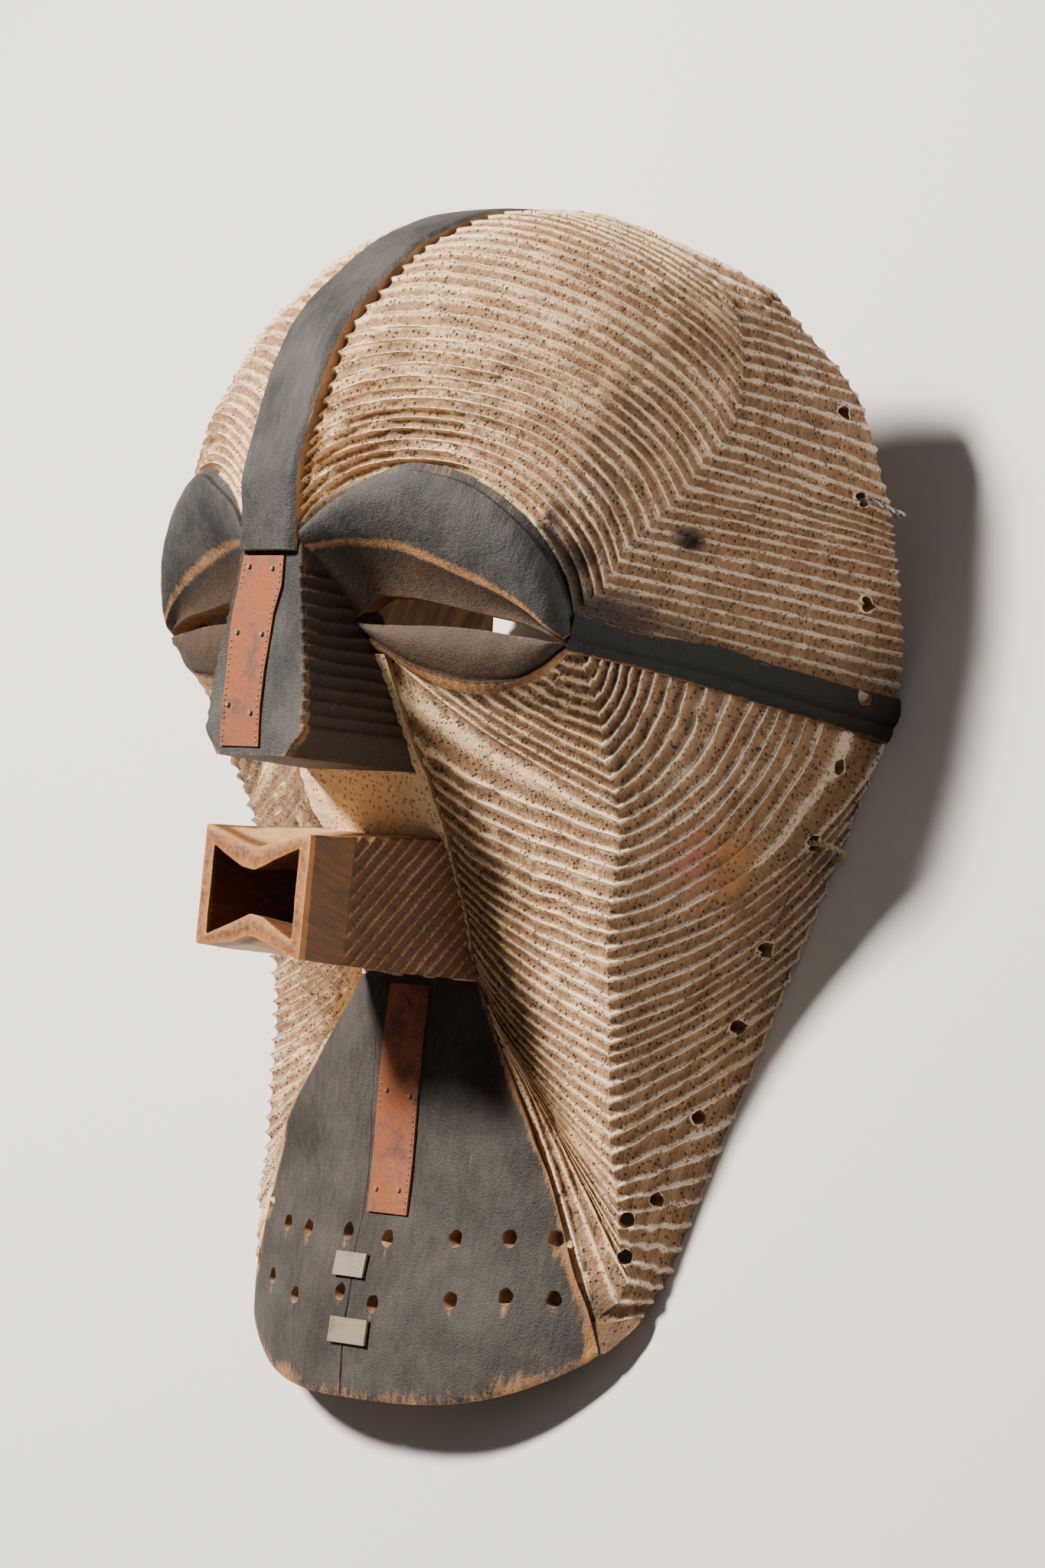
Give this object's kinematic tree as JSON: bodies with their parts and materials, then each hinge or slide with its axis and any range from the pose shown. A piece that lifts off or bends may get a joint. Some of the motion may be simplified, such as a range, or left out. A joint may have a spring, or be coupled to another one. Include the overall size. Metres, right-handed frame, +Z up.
{
  "type": "carved wooden mask",
  "caption": "Carved wooden face mask with grooved cheeks, raised crest, slit eyes, box mouth and pierced rim, lying on its rim.",
  "frame": {"origin": "under the middle of the mask, on the plane that its two side rims rest on", "axes": "+X to the viewer's right of the face, +Y from chin to forehead, +Z up, out of the face"},
  "size_m": [0.267, 0.4692, 0.2376],
  "materials": {
    "carved_wood": "carved wood with worn pale pigment in the grooves and worn black on crest, brows, nose and chin",
    "copper": "dark patinated copper sheet",
    "nail_metal": "worn nail heads",
    "tin_plate": "dull tin sheet",
    "thread": "twisted thread",
    "twine": "fibre twine"
  },
  "bodies": {
    "root": {"carved_mask": "carved_wood", "nose_strip": "copper", "chin_strip": "copper", "nose_nail_1": "nail_metal", "nose_nail_2": "nail_metal", "nose_nail_3": "nail_metal", "nose_nail_4": "nail_metal", "nose_nail_5": "nail_metal", "nose_nail_6": "nail_metal", "chin_nail_1": "nail_metal", "chin_nail_2": "nail_metal", "chin_nail_3": "nail_metal", "chin_nail_4": "nail_metal", "chin_nail_5": "nail_metal", "repair_plate_upper": "tin_plate", "repair_plate_lower": "tin_plate", "rim_thread": "thread", "cord_loop": "twine"}
  },
  "joints": []
}
